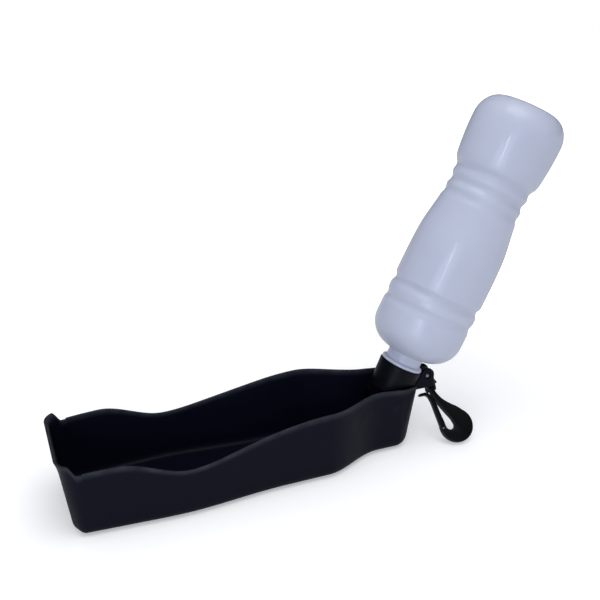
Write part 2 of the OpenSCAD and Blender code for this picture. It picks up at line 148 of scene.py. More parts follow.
class CapSettings(bpy.types.PropertyGroup):
    rim_round: FloatProperty(
        name="Rim rounding", description="Rounding of the cap's open rim",
        default=0.6 * MM, min=0.1 * MM, max=1.2 * MM, unit="LENGTH")
    end_round: FloatProperty(
        name="End rounding", description="Rounding of the cap's closed end",
        default=1.6 * MM, min=0.2 * MM, max=3 * MM, unit="LENGTH")
    colour: FloatVectorProperty(
        name="Colour", description="Colour of the cap's plastic, as sRGB",
        default=(0.036, 0.041, 0.066), min=0, max=1, size=3, subtype="COLOR_GAMMA")


class ClipSettings(bpy.types.PropertyGroup):
    edge_round: FloatProperty(
        name="Edge rounding", description="Rounding along the hook's edges",
        default=1.1 * MM, min=0.2 * MM, max=1.9 * MM, unit="LENGTH")
    gate_round: FloatProperty(
        name="Gate rounding", description="Rounding along the spring gate's edges",
        default=0.5 * MM, min=0.1 * MM, max=0.8 * MM, unit="LENGTH")
    colour: FloatVectorProperty(
        name="Colour", description="Colour of the clip's plastic, as sRGB",
        default=(0.036, 0.037, 0.045), min=0, max=1, size=3, subtype="COLOR_GAMMA")


class StageSettings(bpy.types.PropertyGroup):
    floor_width: FloatProperty(
        name="Floor width", description="Width of the pale floor", default=6, min=1, unit="LENGTH")
    shadow_reach: FloatProperty(
        name="Shadow reach", description="Distance at which the floor starts to fade to white",
        default=0.26, min=0.05, unit="LENGTH")
    lamp_size: FloatProperty(
        name="Lamp size", description="Side of the large soft lamps",
        default=0.7, min=0.1, unit="LENGTH")


# ---------------------------------------------------------------- curves and outlines


def glide(stations, x):
    """A smooth curve through stations of (x, value, slope), level outside them."""
    x = np.asarray(x, float)
    out = np.full(x.shape, float(stations[0][1]))
    for (x0, v0, m0), (x1, v1, m1) in zip(stations, stations[1:]):
        d = x1 - x0
        t = np.clip((x - x0) / d, 0, 1)
        span = (v0 * (2 * t**3 - 3 * t**2 + 1) + v1 * (3 * t**2 - 2 * t**3)
                + m0 * d * (t**3 - 2 * t**2 + t) + m1 * d * (t**3 - t**2))
        out = np.where(x > x0, span, out)
    return out


def soft(t):
    """An S-curve from 0 to 1."""
    t = np.clip(t, 0, 1)
    return t * t * (3 - 2 * t)


def arc(u, v, r, start, end, steps):
    """Points of a circle's arc, angles in degrees."""
    return [(u + r * math.cos(math.radians(a)), v + r * math.sin(math.radians(a)))
            for a in np.linspace(start, end, steps + 1)]


def rounded(corners, steps=6):
    """An outline whose corners (x, y, radius) are rounded off."""
    out, n = [], len(corners)
    for i, (x, y, r) in enumerate(corners):
        p = Vector((x, y))
        a = Vector(corners[i - 1][:2]) - p
        b = Vector(corners[(i + 1) % n][:2]) - p
        if r <= 0:
            out.append((x, y))
            continue
        half = a.angle(b) / 2
        reach = min(r / math.tan(half), 0.49 * a.length, 0.49 * b.length)
        r = reach * math.tan(half)
        a.normalize(), b.normalize()
        centre = p + (a + b).normalized() * (r / math.sin(half))
        d0, d1 = p + a * reach - centre, p + b * reach - centre
        a0 = math.atan2(d0.y, d0.x)
        turn = (math.atan2(d1.y, d1.x) - a0 + math.pi) % (2 * math.pi) - math.pi
        out += [(centre.x + r * math.cos(a0 + turn * k / steps),
                 centre.y + r * math.sin(a0 + turn * k / steps)) for k in range(steps + 1)]
    return out


def flowing(points, spacing=0.45):
    """A smooth curve through points, sampled evenly enough to be rounded later."""
    p = np.asarray(points, float)
    out = []
    for i in range(len(p) - 1):
        a, b = p[i], p[i + 1]
        before, after = p[max(i - 1, 0)], p[min(i + 2, len(p) - 1)]
        steps = max(2, int(np.linalg.norm(b - a) / spacing))
        for t in np.arange(steps) / steps:
            out.append(tuple(0.5 * (2 * a + (b - before) * t
                                    + (2 * before - 5 * a + 4 * b - after) * t**2
                                    + (3 * a - before - 3 * b + after) * t**3)))
    return out + [tuple(p[-1])]


def inset(outline, distance):
    """The outline moved inwards, each point along the mean of its neighbours' normals."""
    p = np.asarray(outline, float)
    before, after = np.roll(p, 1, 0) - p, np.roll(p, -1, 0) - p
    area = np.sum(p[:, 0] * np.roll(p[:, 1], -1) - np.roll(p[:, 0], -1) * p[:, 1])
    turn = 1 if area > 0 else -1
    a = -before / np.maximum(np.linalg.norm(before, axis=1, keepdims=True), 1e-9)
    b = after / np.maximum(np.linalg.norm(after, axis=1, keepdims=True), 1e-9)
    na = turn * np.stack([-a[:, 1], a[:, 0]], 1)
    nb = turn * np.stack([-b[:, 1], b[:, 0]], 1)
    mean = na + nb
    mean /= np.maximum(np.linalg.norm(mean, axis=1, keepdims=True), 1e-9)
    grow = 1 / np.maximum(np.sum(mean * na, 1, keepdims=True), 0.5)
    # A narrow tip keeps some width: what lies straight across it limits the move
    across = p[None, :, :] - p[:, None, :]
    away = np.linalg.norm(across, axis=2)
    ahead = np.einsum("ijk,ik->ij", across, mean) > 0.8 * np.maximum(away, 1e-6)
    room = np.where(ahead, away, np.inf).min(1)[:, None]
    return p + mean * np.minimum(grow * distance, 0.4 * room)


# ---------------------------------------------------------------- meshes


def bands(rings, n, closed=False):
    """Quads between neighbouring rings of n points, the last joined to the first if closed."""
    pairs = [(i, (i + 1) % rings) for i in range(rings if closed else rings - 1)]
    return [(i * n + k, i * n + (k + 1) % n, j * n + (k + 1) % n, j * n + k)
            for i, j in pairs for k in range(n)]


def slab(outline, thickness, edge, steps=4):
    """A flat plate of the outline, centred on its plane, with rounded edges: (verts, faces)."""
    half = thickness / 2
    layers = [(edge * (1 - math.sin(a)), half - edge * (1 - math.cos(a)))
              for a in np.linspace(0, math.pi / 2, steps + 1)]
    layers += [(d, -z) for d, z in reversed(layers)]
    n = len(outline)
    verts = [(x, y, z) for d, z in layers for x, y in inset(outline, d)]
    ends = [tuple(range(n - 1, -1, -1)), tuple(range((len(layers) - 1) * n, len(layers) * n))]
    return verts, bands(len(layers), n) + ends


def turned(profile, segments=96):
    """A solid of revolution about Z from (radius, height) points: (verts, faces)."""
    around = [2 * math.pi * k / segments for k in range(segments)]
    verts = [(r * math.cos(a), r * math.sin(a), z) for r, z in profile for a in around]
    return verts, bands(len(profile), segments, closed=True)


def round_bar(radius, start, end, edge=0.0, segments=64):
    """A bar along Z with rounded ends, closed at its axis."""
    corner = [(0, start), (radius - edge, start)]
    if edge > 0:
        corner += [(radius - edge * (1 - math.sin(a)), start + edge * (1 - math.cos(a)))
                   for a in np.linspace(math.pi / 10, math.pi / 2, 5)]
        corner += [(radius - edge * (1 - math.cos(a)), end - edge * (1 - math.sin(a)))
                   for a in np.linspace(0, math.pi / 2, 6)]
    else:
        corner += [(radius, start), (radius, end)]
    return turned(corner + [(0, end)], segments)


def settle(mesh, sharp=32):
    """Merges doubles, points the faces outwards and shades smooth up to an angle."""
    work = bmesh.new()
    work.from_mesh(mesh)
    bmesh.ops.remove_doubles(work, verts=work.verts, dist=1e-7)
    bmesh.ops.dissolve_degenerate(work, edges=work.edges, dist=1e-8)
    bmesh.ops.recalc_face_normals(work, faces=work.faces)
    work.to_mesh(mesh)
    work.free()
    mesh.shade_smooth()
    mesh.set_sharp_from_angle(angle=math.radians(sharp))
    return mesh


def mesh_piece(name, parts, sharp=32):
    """One object from [(verts, faces, matrix)], millimetres turned to metres."""
    verts, faces = [], []
    for v, f, matrix in parts:
        base = len(verts)
        verts += [tuple(matrix @ Vector(p) * MM) for p in v]
        faces += [tuple(base + i for i in face) for face in f]
    mesh = bpy.data.meshes.new(name)
    mesh.from_pydata(verts, [], faces)
    settle(mesh, sharp)
    piece = bpy.data.objects.new(name, mesh)
    bpy.context.scene.collection.objects.link(piece)
    return piece


def carve(piece, tools, operation="DIFFERENCE", sharp=32):
    """Cuts the tools out of the piece, or joins them to it, and keeps a plain mesh."""
    for tool in tools:
        step = piece.modifiers.new("carve", "BOOLEAN")
        step.operation, step.solver, step.object = operation, "EXACT", tool
    bpy.context.view_layer.update()
    shape = bpy.data.meshes.new_from_object(
        piece.evaluated_get(bpy.context.evaluated_depsgraph_get()))
    piece.modifiers.clear()
    old, piece.data = piece.data, shape
    bpy.data.meshes.remove(old)
    for tool in tools:
        bpy.data.objects.remove(tool)
    settle(piece.data, sharp)
    piece.data.name = piece.name
    return piece


def dress(piece, body, slot, material, *nodes):
    """Gives a piece its finish and its body, and hides the solids that it stands for."""
    piece.data.materials.clear()
    piece.data.materials.append(material)
    if nodes:
        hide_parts(*nodes)
    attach(piece, body)
    return piece


def keep_solid(node, material):
    """A solid whose shape is right keeps it and gets its finish."""
    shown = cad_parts[node]
    shown.data.materials.clear()
    shown.data.materials.append(material)


# ---------------------------------------------------------------- places


# Each turns a shape's own millimetres into millimetres of the part's frame
PLACED = Matrix.Translation((-ORIGIN_X, 0, 0))
FOLD = PLACED @ Matrix.Translation((FOLD_X, 0, FOLD_Z)) @ Matrix.Rotation(TILT, 4, "Y")
CAP = FOLD @ Matrix.Translation((CAP_OFFSET, 0, CAP_REACH))
UPRIGHT = PLACED @ Matrix.Rotation(math.pi / 2, 4, "X")
LINK = (PLACED @ Matrix.Translation((LINK_X, 0, LINK_Z))
        @ Matrix.Rotation(math.radians(-HOOK_SWING), 4, "Y"))
HOOK = (LINK @ Matrix.Rotation(math.radians(-HOOK_LEAN), 4, "X")
        @ Matrix.Rotation(math.pi / 2, 4, "Y") @ Matrix.Rotation(math.pi / 2, 4, "X"))
SIDEWAYS = Matrix.Rotation(math.pi / 2, 4, "X")
HINGE = PLACED @ Matrix.Translation((FOLD_X, 0, FOLD_Z)) @ SIDEWAYS
LUG_PIN = PLACED @ Matrix.Translation((LUG_X, 0, LUG_Z)) @ SIDEWAYS


# ---------------------------------------------------------------- materials


def linear(colour):
    """sRGB components or a hex string as a linear RGBA colour."""
    if isinstance(colour, str):
        colour = [int(colour[i:i + 2], 16) / 255 for i in (1, 3, 5)]
    rgb = [c / 12.92 if c <= 0.04045 else ((c + 0.055) / 1.055) ** 2.4 for c in colour]
    return (*rgb, 1.0)


def add(tree, kind, links=None, **settings):
    """Adds a node, sets its properties, and sets or links its inputs."""
    node = tree.nodes.new(kind)
    for name, value in settings.items():
        setattr(node, name, value)
    for name, value in (links or {}).items():
        socket = node.inputs[name]
        if isinstance(value, bpy.types.NodeSocket):
            tree.links.new(value, socket)
        else:
            socket.default_value = value
    return node


def new_material(name):
    """An empty material and its node tree."""
    material = bpy.data.materials.new(name)
    material.use_nodes = True
    material.node_tree.nodes.clear()
    return material, material.node_tree


def moulded_plastic(name, colour, grain, roughness, specular, rim_highlight_and_wear=0.0):
    """Injection-moulded plastic: eroded grain, soft flow ripple, rubbed places and, when asked, a
    paler rim that is painted highlight and wear.
    """
    material, tree = new_material(name)
    place = add(tree, "ShaderNodeTexCoord").outputs["Object"]
    # The mould's spark-eroded grain, about 0.1 mm on the real part, drawn coarse enough to show
    fine = add(tree, "ShaderNodeTexNoise", {
        "Vector": place, "Scale": 1 / grain, "Detail": 3.0, "Roughness": 0.6})
    # Melt flow and sink leave a ripple a few centimetres long
    flow = add(tree, "ShaderNodeTexNoise", {
        "Vector": place, "Scale": 1 / (28 * MM), "Detail": 1.0, "Roughness": 0.4})
    # Handling polishes some places and dulls others, patches of about 9 mm
    rubbed = add(tree, "ShaderNodeTexNoise", {
        "Vector": place, "Scale": 1 / (9 * MM), "Detail": 4.0, "Roughness": 0.55})
    sheen = add(tree, "ShaderNodeMapRange", {
        "Value": rubbed.outputs["Fac"], "From Min": 0.3, "From Max": 0.7,
        "To Min": roughness - 0.05, "To Max": roughness + 0.06})
    shade = add(tree, "ShaderNodeMix", {
        "Factor": rubbed.outputs["Fac"],
        "A": linear([c * 0.94 for c in colour]), "B": linear([min(1, c * 1.06) for c in colour]),
    }, data_type="RGBA").outputs["Result"]
    if rim_highlight_and_wear > 0:
        # Paler along the rim, from an attribute along the edge: a painted highlight of the lit rim
        # edge, made patchy like wear where the rim is knocked and wiped
        edge = add(tree, "ShaderNodeAttribute", attribute_name="edge")
        lit_and_worn = add(tree, "ShaderNodeMath", {0: edge.outputs["Fac"], 1: rim_highlight_and_wear}, operation="MULTIPLY")
        patchy = add(tree, "ShaderNodeMath", {0: lit_and_worn.outputs[0], 1: rubbed.outputs["Fac"]},
                     operation="MULTIPLY")
        shade = add(tree, "ShaderNodeMix", {
            "Factor": patchy.outputs[0], "A": shade, "B": linear("#4a4c55"),
        }, data_type="RGBA").outputs["Result"]
    ripple = add(tree, "ShaderNodeBump", {
        "Height": flow.outputs["Fac"], "Strength": 0.25, "Distance": 0.4 * MM})
    texture = add(tree, "ShaderNodeBump", {
        "Height": fine.outputs["Fac"], "Strength": 0.35, "Distance": 0.04 * MM,
        "Normal": ripple.outputs["Normal"]})
    surface = add(tree, "ShaderNodeBsdfPrincipled", {
        "Base Color": shade, "Roughness": sheen.outputs["Result"],
        "Specular IOR Level": specular, "IOR": 1.49, "Normal": texture.outputs["Normal"]})
    add(tree, "ShaderNodeOutputMaterial", {"Surface": surface.outputs["BSDF"]})
    return material


def milky_polyethylene(name, colour):
    """Blow-moulded low-density polyethylene: milky, bluish, waxy, with a thin gloss."""
    material, tree = new_material(name)
    place = add(tree, "ShaderNodeTexCoord").outputs["Object"]
    # The blown wall varies in thickness over about 30 mm, so it is milkier in places
    cloud = add(tree, "ShaderNodeTexNoise", {
        "Vector": place, "Scale": 1 / (30 * MM), "Detail": 2.0, "Roughness": 0.5})
    # Fine orange peel of the blown skin, about 1.5 mm
    peel = add(tree, "ShaderNodeTexNoise", {
        "Vector": place, "Scale": 1 / (1.5 * MM), "Detail": 2.0, "Roughness": 0.5})
    tint = add(tree, "ShaderNodeMix", {
        "Factor": cloud.outputs["Fac"],
        "A": linear([c * 0.98 for c in colour]), "B": linear([min(1, c * 1.02) for c in colour]),
    }, data_type="RGBA")
    gloss = add(tree, "ShaderNodeMapRange", {
        "Value": cloud.outputs["Fac"], "From Min": 0.3, "From Max": 0.7,
        "To Min": 0.36, "To Max": 0.44})
    skin = add(tree, "ShaderNodeBump", {
        "Height": peel.outputs["Fac"], "Strength": 0.2, "Distance": 0.03 * MM})
    surface = add(tree, "ShaderNodeBsdfPrincipled", {
        "Base Color": tint.outputs["Result"], "Roughness": gloss.outputs["Result"],
        "IOR": 1.5, "Specular IOR Level": 0.2, "Transmission Weight": 0.25,
        "Subsurface Weight": 0.35, "Subsurface Radius": (1.0, 1.1, 1.4),
        "Subsurface Scale": 4 * MM, "Coat Weight": 0.5, "Coat Roughness": 0.06,
        "Normal": skin.outputs["Normal"]})
    add(tree, "ShaderNodeOutputMaterial", {"Surface": surface.outputs["BSDF"]})
    return material


def soft_rubber(name, colour):
    """Moulded nitrile rubber: matt, with a fine powdery bloom."""
    material, tree = new_material(name)
    place = add(tree, "ShaderNodeTexCoord").outputs["Object"]
    bloom = add(tree, "ShaderNodeTexNoise", {
        "Vector": place, "Scale": 1 / (1.2 * MM), "Detail": 5.0, "Roughness": 0.7})
    tint = add(tree, "ShaderNodeMix", {
        "Factor": bloom.outputs["Fac"], "A": linear(colour), "B": linear("#34343a"),
    }, data_type="RGBA")
    skin = add(tree, "ShaderNodeBump", {
        "Height": bloom.outputs["Fac"], "Strength": 0.3, "Distance": 0.03 * MM})
    surface = add(tree, "ShaderNodeBsdfPrincipled", {
        "Base Color": tint.outputs["Result"], "Roughness": 0.72, "Specular IOR Level": 0.3,
        "Normal": skin.outputs["Normal"]})
    add(tree, "ShaderNodeOutputMaterial", {"Surface": surface.outputs["BSDF"]})
    return material


def drawn_steel(name, colour):
    """Cold-drawn steel wire, nickel plated: fine lines along the pin and a soft gleam."""
    material, tree = new_material(name)
    place = add(tree, "ShaderNodeTexCoord").outputs["Object"]
    # The die leaves lines about 0.2 mm apart, drawn out along the pin
    stretch = add(tree, "ShaderNodeMapping", {"Vector": place, "Scale": (1.0, 0.15, 1.0)})
    lines = add(tree, "ShaderNodeTexNoise", {
        "Vector": stretch.outputs["Vector"], "Scale": 1 / (0.2 * MM), "Detail": 2.0})
    gloss = add(tree, "ShaderNodeMapRange", {
        "Value": lines.outputs["Fac"], "To Min": 0.26, "To Max": 0.42})
    skin = add(tree, "ShaderNodeBump", {
        "Height": lines.outputs["Fac"], "Strength": 0.15, "Distance": 0.01 * MM})
    surface = add(tree, "ShaderNodeBsdfPrincipled", {
        "Base Color": linear(colour), "Metallic": 1.0, "Roughness": gloss.outputs["Result"],
        "Normal": skin.outputs["Normal"]})
    add(tree, "ShaderNodeOutputMaterial", {"Surface": surface.outputs["BSDF"]})
    return material


# ---------------------------------------------------------------- trough


def half_rim():
    """Half outline of the rim: x, y, normal x, normal y, height, share of the lip, extra lean."""
    rows = []
    for a in np.linspace(0, 90, 61)[:-1]:
        lip = float(soft((LIP_STOP - a) / LIP_DROP))
        c, s = math.cos(math.radians(a)), math.sin(math.radians(a))
        rows.append((FAR_X + CORNER_R * (1 - c),
                     float(glide(WIDTHS, FAR_X + CORNER_R)) - CORNER_R * (1 - s), -c, s,
                     float(glide(HEIGHTS, FAR_X)) + LIP_RISE * lip, lip,
                     FAR_LEAN * float(soft((90 - a) / TURN_SPAN))))
    for x in np.linspace(FAR_X + CORNER_R, NOSE_FROM, 141)[:-1]:
        m = float(glide(WIDTHS, x + 0.5) - glide(WIDTHS, x - 0.5))
        q = math.hypot(1, m)
        rows.append((x, float(glide(WIDTHS, x)), -m / q, 1 / q, float(glide(HEIGHTS, x)), 0, 0))
    for a in np.linspace(0, 89, 40):
        s, c = math.sin(math.radians(a)), math.cos(math.radians(a))
        nx, ny = s / NOSE_LEN, c / POCKET_W
        q, x = math.hypot(nx, ny), NOSE_FROM + NOSE_LEN * s
        w = float(soft((a - NOSE_LEVEL) / TURN_SPAN))
        height = float(glide(HEIGHTS, x)) * (1 - w) + NOSE_H * w
        rows.append((x, POCKET_W * c, nx / q, ny / q, height, 0,
                     NOSE_LEAN * float(soft(a / TURN_SPAN))))
    return rows


def wall_section(h, rim):
    """The wall as (inset, height, closeness to the rim), from below the floor over to its top."""
    rows = [(BOTTOM_R * (1 - math.sin(a)), BOTTOM_R * (1 - math.cos(a)), 0)
            for a in np.linspace(0, math.pi / 2, 9)[:-1]]
    top = h - rim
    # Closer together towards the top, where the rim's painted highlight and wear fade over the last
    # twelfth of the wall
    climb = 1 - (1 - np.linspace(0, 1, 27)[:-1]) ** 1.6
    near = [max(0, 1 - (1 - f) * 12) for f in climb]
    rows += [(0, BOTTOM_R + f * (top - BOTTOM_R), e) for f, e in zip(climb, near)]
    rows += [(rim * (1 - math.cos(a)), top + rim * math.sin(a), 1)
             for a in np.linspace(0, math.pi / 2, 5)]
    rows += [(WALL - rim * (1 - math.cos(a)), top + rim * math.sin(a), 1)
             for a in np.linspace(math.pi / 2, 0, 5)[(1 if rim >= WALL / 2 else 0):]]
    low = FLOOR_T + FILLET_R
    rows += [(WALL, low + f * (top - low), e) for f, e in zip(climb[::-1], near[::-1])]
    rows += [(WALL + FILLET_R * (1 - math.cos(a)), low - FILLET_R * math.sin(a), 0)
             for a in np.linspace(0, math.pi / 2, 9)[1:]]
    return rows


def trough_shell(rim):
    """The lofted tray: (verts, faces, edge closeness of each vertex)."""
    half = half_rim()
    ring = [(p, 1) for p in half] + [(p, -1) for p in reversed(half)]
    sections = [wall_section(p[4], rim) for p, _ in ring]
    count, n = len(sections[0]), len(ring)
    verts, edge = [], []
    for i in range(count):
        for (p, side), section in zip(ring, sections):
            inwards, z, near = section[i]
            d = inwards + (DRAFT + p[6]) * (p[4] - z - LIP_RISE * p[5])
            out = LIP_OUT * max(0, 1 - (p[4] - z) / LIP_CURL) ** 2
            verts.append((p[0] - p[2] * d - p[5] * out, side * (p[1] - p[3] * d), z))
            edge.append(near)
    faces = bands(count, n)
    for base in (0, (count - 1) * n):
        faces += [(base + j, base + j + 1, base + n - 2 - j, base + n - 1 - j)
                  for j in range(len(half) - 1)]
    return verts, faces, edge


def fold_point(x, z):
    """A point beside and along the open bottle's axis, in the trough's own side view."""
    return (FOLD_X + x * math.cos(TILT) + z * math.sin(TILT),
            FOLD_Z - x * math.sin(TILT) + z * math.cos(TILT))


def in_nose(inset, z):
    """A point behind the outer face at the nose's tip, seen from the side."""
    return (NOSE_X - inset - (DRAFT + NOSE_LEAN) * (NOSE_H - z), z)


def seat_outline():
    """The pedestal that stops the open cap and holds the valve pad, seen from the side."""
    seat, stop = BARREL_R + GAP, CAP_REACH - CAP_LEN - GAP
    low = fold_point(seat, -PAD_R - 1.4)
    reach = in_nose(WALL - 0.1, NOSE_H - 12.5)[0] - FOLD_X - stop * math.sin(TILT)
    return rounded([(*fold_point(seat, stop), 0.4), (*low, 0.6), (low[0], FLOOR_T / 2, 0),
                    (*in_nose(BOTTOM_R, FLOOR_T / 2), 0),
                    (*in_nose(WALL + 0.35 * FILLET_R, FLOOR_T + 0.2 * FILLET_R), 0),
                    (*in_nose(WALL - 0.1, FLOOR_T + FILLET_R), 0),
                    (*fold_point(reach / math.cos(TILT), stop), 0)])


def lug_outline():
    """One clip lug from the side: a plate with a round top, clear of the leaning cap."""
    low, high = in_nose(WALL / 2 + 0.2, LUG_LOW), in_nose(WALL / 2, NOSE_H - 0.6)
    front = LUG_X + LUG_R
    foot = rounded([(*low, 0), (front, LUG_LOW, 1.0), (front, LUG_Z, 0)])[1:-1]
    return ([high, low] + foot + arc(LUG_X, LUG_Z, LUG_R, 0, 168, 22)
            + [(NOSE_X + 0.6, NOSE_H + 1.6)])


class DOGBOTTLE_OT_trough(bpy.types.Operator):
    """Builds the lofted trough with its cap seat and clip lugs"""

    bl_idname = "dogbottle.trough"
    bl_label = "Trough"

    def execute(self, context):
        s = context.scene.dogbottle_trough
        edge = s.edge_round / MM
        verts, faces, near = trough_shell(s.rim_round / MM)
        mesh = bpy.data.meshes.new("trough_tray")
        mesh.from_pydata([tuple(PLACED @ Vector(v) * MM) for v in verts], [], faces)
        mesh.attributes.new("edge", "FLOAT", "POINT").data.foreach_set(
            "value", np.array(near, np.float32))
        tray = bpy.data.objects.new("trough_tray", settle(mesh, 40))
        context.scene.collection.objects.link(tray)
        inside, outside = BARREL_HALF + 0.15, POCKET_W + 2
        bores = [mesh_piece("bore", [(*round_bar(PIVOT_R + PIVOT_PLAY, a, b), HINGE)])
                 for a, b in ((-outside, -inside), (inside, outside))]
        carve(tray, bores, sharp=40)
        seat = mesh_piece("seat", [(*slab(seat_outline(), 2 * SEAT_HALF, 0.3), UPRIGHT)])
        pad = (FOLD @ Matrix.Translation((BARREL_R + GAP, 0, 0))
               @ Matrix.Rotation(math.pi / 2, 4, "Y"))
        carve(seat, [mesh_piece("socket", [(*round_bar(PAD_R + 0.03, -1, PAD_T + 0.02), pad)])])
        middle = SLOT_W / 2 + PLATE_T / 2
        lugs = mesh_piece("lugs", [
            (*slab(lug_outline(), PLATE_T, edge),
             UPRIGHT @ Matrix.Translation((0, 0, side * middle))) for side in (-1, 1)])
        face = SLOT_W / 2 + PLATE_T
        holes = [(PIN_R + PIN_PLAY, -face - 1, face + 1), (SINK_R, -face - SINK_T, -face + SINK_T),
                 (SINK_R, face - SINK_T, face + SINK_T)]
        carve(lugs, [mesh_piece("bore", [(*round_bar(*hole), LUG_PIN)]) for hole in holes])
        web = mesh_piece("web", [(*slab(
            [in_nose(WALL / 2 + 0.2, LUG_LOW + 0.3), (NOSE_X + 0.3, LUG_LOW + 0.3),
             (NOSE_X + 0.3, NOSE_H - 0.2), in_nose(WALL / 2, NOSE_H - 0.9)],
            SLOT_W + PLATE_T, 0.15), UPRIGHT)])
        whole = join_pieces("trough_body", [tray, seat, lugs, web])
        dress(whole, "trough", "black_satin_plastic", satin_polypropylene(s), "trough")
        return {"FINISHED"}


def join_pieces(name, pieces):
    """One object from several closed meshes that touch."""
    with bpy.context.temp_override(active_object=pieces[0], selected_editable_objects=pieces,
                                   object=pieces[0], selected_objects=pieces):
        bpy.ops.object.join()
    pieces[0].name = pieces[0].data.name = name
    return pieces[0]


def satin_polypropylene(s):
    # Black polypropylene with a navy cast: satin, so walls hold a broad, dim sheen
    # The rim is painted paler: a painted highlight of its lit edge, made patchy like wear
    return moulded_plastic("black moulded polypropylene", tuple(s.colour), s.grain,
                           roughness=0.42, specular=0.08, rim_highlight_and_wear=0.7)


# ---------------------------------------------------------------- bottle


def lathe_tree():
    """Revolves the input's points (x radius, z height) and presses rib grooves into them."""
    tree = bpy.data.node_groups.new("lathe with rib grooves", "GeometryNodeTree")
    face = tree.interface
    face.new_socket("Profile", in_out="INPUT", socket_type="NodeSocketGeometry")
    for name, kind, value in (("Segments", "NodeSocketInt", 96), ("Groove", "NodeSocketFloat", 0.0),
                              ("Half Width", "NodeSocketFloat", 0.005),
                              ("Groove Above", "NodeSocketFloat", 0.02)):
        face.new_socket(name, in_out="INPUT", socket_type=kind).default_value = value
    face.new_socket("Finish", in_out="INPUT", socket_type="NodeSocketMaterial")
    face.new_socket("Geometry", in_out="OUTPUT", socket_type="NodeSocketGeometry")
    given = add(tree, "NodeGroupInput").outputs
    count = add(tree, "GeometryNodeAttributeDomainSize", {"Geometry": given["Profile"]},
                component="MESH").outputs["Point Count"]
    around = add(tree, "ShaderNodeMath", {0: given["Segments"], 1: 1.0},
                 operation="ADD").outputs[0]
    grid = add(tree, "GeometryNodeMeshGrid", {
        "Size X": 1.0, "Size Y": 1.0, "Vertices X": count, "Vertices Y": around})
    index = add(tree, "GeometryNodeInputIndex").outputs[0]
    # The grid's point number gives its row along the profile and its step round it
    row = index
    for operation, value in (("ADD", 0.5), ("DIVIDE", around), ("FLOOR", 0.0)):
        row = add(tree, "ShaderNodeMath", {0: row, 1: value}, operation=operation).outputs[0]
    passed = add(tree, "ShaderNodeMath", {0: row, 1: around}, operation="MULTIPLY")
    step = add(tree, "ShaderNodeMath", {0: index, 1: passed.outputs[0]}, operation="SUBTRACT")
    point = add(tree, "GeometryNodeSampleIndex", {
        "Geometry": given["Profile"], "Value": add(tree, "GeometryNodeInputPosition").outputs[0],
        "Index": row}, data_type="FLOAT_VECTOR", domain="POINT", clamp=True)
    at = add(tree, "ShaderNodeSeparateXYZ", {0: point.outputs["Value"]}).outputs
    dent = 0.0
    for station, share in RIBS:
        # One wave of a cosine, its deepest at the station and level half a width away
        wave = at["Z"]
        for operation, value in (
                ("SUBTRACT", station * MM), ("DIVIDE", given["Half Width"]), ("ABSOLUTE", 0.0),
                ("MINIMUM", 1.0), ("MULTIPLY", math.pi), ("COSINE", 0.0), ("ADD", 1.0),
                ("MULTIPLY", share / 2), ("ADD", dent)):
            wave = add(tree, "ShaderNodeMath", {0: wave, 1: value}, operation=operation).outputs[0]
        dent = wave
    # The body is pressed, inside and out, and the neck isn't
    outside = add(tree, "ShaderNodeMath", {0: at["X"], 1: given["Groove Above"]},
                  operation="GREATER_THAN")
    for value in (given["Groove"], outside.outputs[0]):
        dent = add(tree, "ShaderNodeMath", {0: dent, 1: value}, operation="MULTIPLY").outputs[0]
    radius = add(tree, "ShaderNodeMath", {0: at["X"], 1: dent}, operation="SUBTRACT").outputs[0]
    angle = step.outputs[0]
    for operation, value in (("MULTIPLY", 2 * math.pi), ("DIVIDE", given["Segments"])):
        angle = add(tree, "ShaderNodeMath", {0: angle, 1: value}, operation=operation).outputs[0]
    across = {}
    for axis, operation in (("X", "COSINE"), ("Y", "SINE")):
        part = add(tree, "ShaderNodeMath", {0: angle}, operation=operation).outputs[0]
        across[axis] = add(tree, "ShaderNodeMath", {0: radius, 1: part},
                           operation="MULTIPLY").outputs[0]
    spot = add(tree, "ShaderNodeCombineXYZ", {**across, "Z": at["Z"]})
    moved = add(tree, "GeometryNodeSetPosition", {
        "Geometry": grid.outputs["Mesh"], "Position": spot.outputs[0]})
    merged = add(tree, "GeometryNodeMergeByDistance", {
        "Geometry": moved.outputs[0], "Distance": 1e-6})
    shaded = add(tree, "GeometryNodeSetShadeSmooth", {"Geometry": merged.outputs[0]})
    real = add(tree, "GeometryNodeRealizeInstances", {"Geometry": shaded.outputs[0]})
    finished = add(tree, "GeometryNodeSetMaterial", {
        "Geometry": real.outputs[0], "Material": given["Finish"]})
    add(tree, "NodeGroupOutput", {"Geometry": finished.outputs[0]})
    return tree


def lathe(name, profile, matrix, material, segments, sharp=40, **inputs):
    """A turned piece from (radius, height) points in millimetres, by the lathe tree."""
    tree = bpy.data.node_groups.get("lathe with rib grooves") or lathe_tree()
    line = bpy.data.meshes.new(name)
    line.from_pydata([(r * MM, 0, z * MM) for r, z in profile], [], [])
    piece = bpy.data.objects.new(name, line)
    bpy.context.scene.collection.objects.link(piece)
    step = piece.modifiers.new("lathe", "NODES")
    step.node_group = tree
    sockets = {item.name: item.identifier for item in tree.interface.items_tree
               if item.in_out == "INPUT"}
    step[sockets["Segments"]] = segments
    step[sockets["Finish"]] = material
    for key, value in inputs.items():
        step[sockets[key.replace("_", " ").title()]] = value
    bpy.context.view_layer.update()
    mesh = bpy.data.meshes.new_from_object(
        piece.evaluated_get(bpy.context.evaluated_depsgraph_get()))
    piece.modifiers.clear()
    piece.data = mesh
    bpy.data.meshes.remove(line)
    mesh.name = name
    place = matrix.copy()
    place.translation = place.translation * MM
    mesh.transform(place)
    settle(mesh, sharp)
    return piece


